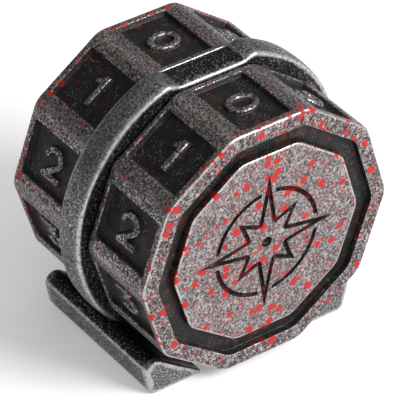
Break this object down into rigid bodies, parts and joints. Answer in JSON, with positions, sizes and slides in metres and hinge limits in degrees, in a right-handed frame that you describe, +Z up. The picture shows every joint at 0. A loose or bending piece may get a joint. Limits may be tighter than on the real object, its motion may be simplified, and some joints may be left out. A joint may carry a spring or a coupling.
{
  "type": "two-dial score counter",
  "caption": "Desk score counter: two ten-sided metal number dials on one axle, divided by a ring frame with a reading notch and wedge feet.",
  "frame": {"origin": "on the table, under the middle of the ring", "axes": "X along the axle with the units dial at +X, the reader sits at -Y, +Z up"},
  "size_m": [0.0252, 0.0362, 0.0344],
  "materials": {
    "antique_silver": "antique silver plated zinc casting, bead-blasted grain, red splatter, black enamel in the windows",
    "antique_silver_cap": "antique silver plated zinc plate, grained, red splatter, black filled engraving",
    "pewter_frame": "dark antiqued pewter casting with worn bright edges",
    "turned_steel": "turned bright steel",
    "spring_strip": "blued spring steel strip"
  },
  "bodies": {
    "frame": {"frame": "pewter_frame", "axle": "turned_steel", "units_washer": "turned_steel", "units_retaining_screw": "turned_steel", "units_click_spring": "spring_strip", "tens_washer": "turned_steel", "tens_retaining_screw": "turned_steel", "tens_click_spring": "spring_strip"},
    "units_dial": {"units_dial": "antique_silver", "units_end_cap": "antique_silver_cap"},
    "tens_dial": {"tens_dial": "antique_silver", "tens_end_cap": "antique_silver_cap"}
  },
  "joints": [
    {"name": "units_dial_spin", "type": "hinge", "parent": "frame", "child": "units_dial", "pos_m": [0.007, 0, 0.0173], "axis": [1, 0, 0], "continuous": true, "deforming": ["units_click_spring"]},
    {"name": "tens_dial_spin", "type": "hinge", "parent": "frame", "child": "tens_dial", "pos_m": [-0.007, 0, 0.0173], "axis": [1, 0, 0], "continuous": true, "deforming": ["tens_click_spring"]}
  ]
}
